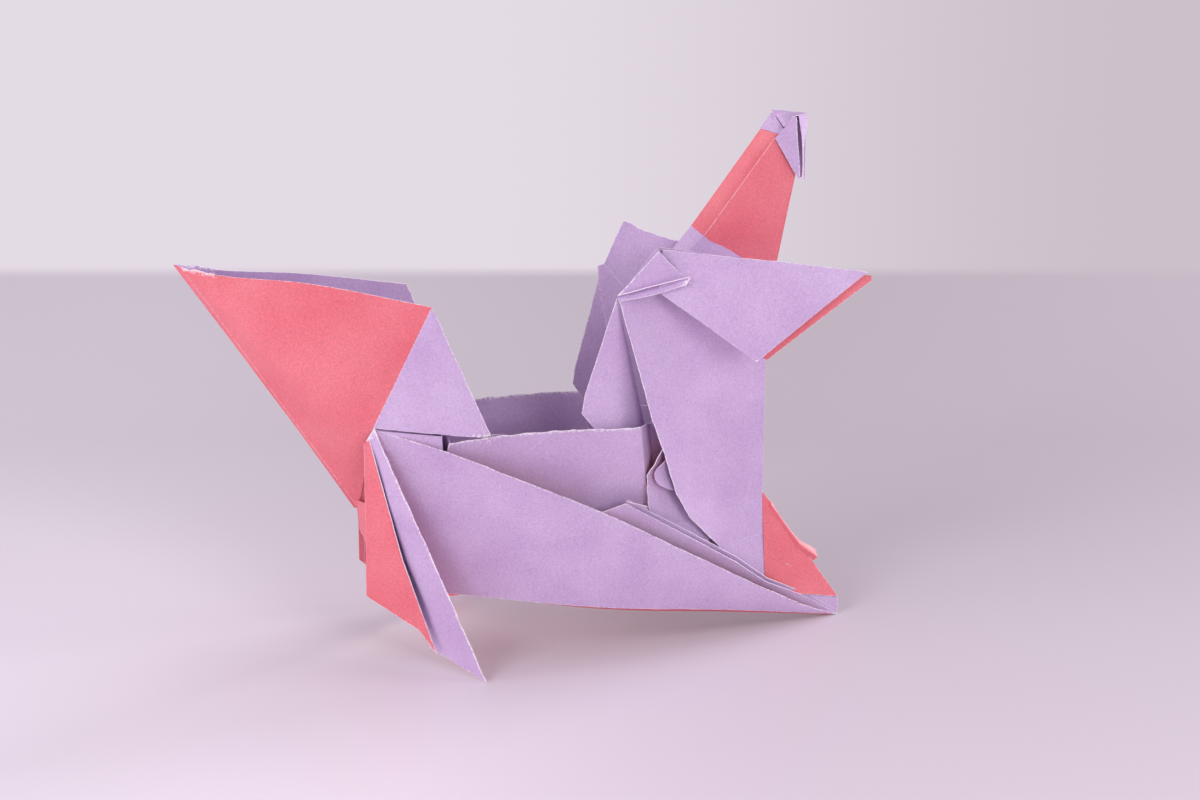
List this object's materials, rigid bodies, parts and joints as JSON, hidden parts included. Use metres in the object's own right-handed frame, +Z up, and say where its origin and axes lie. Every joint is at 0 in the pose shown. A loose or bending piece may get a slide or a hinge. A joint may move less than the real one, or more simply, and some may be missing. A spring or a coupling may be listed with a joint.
{
  "type": "origami dog",
  "caption": "Standing dog folded from one square of two-coloured craft paper, with open back, raised tail and head.",
  "frame": {"origin": "on the table under the middle of the dog's length, in its plane of symmetry", "axes": "+X towards the bow and the chest, +Y to the dog's left, +Z up from the table"},
  "size_m": [0.1028, 0.0334, 0.0822],
  "materials": {
    "paper": "matt two-coloured craft paper, lilac on one side and coral on the other"
  },
  "bodies": {
    "root": {"folded_sheet": "paper"}
  },
  "joints": []
}
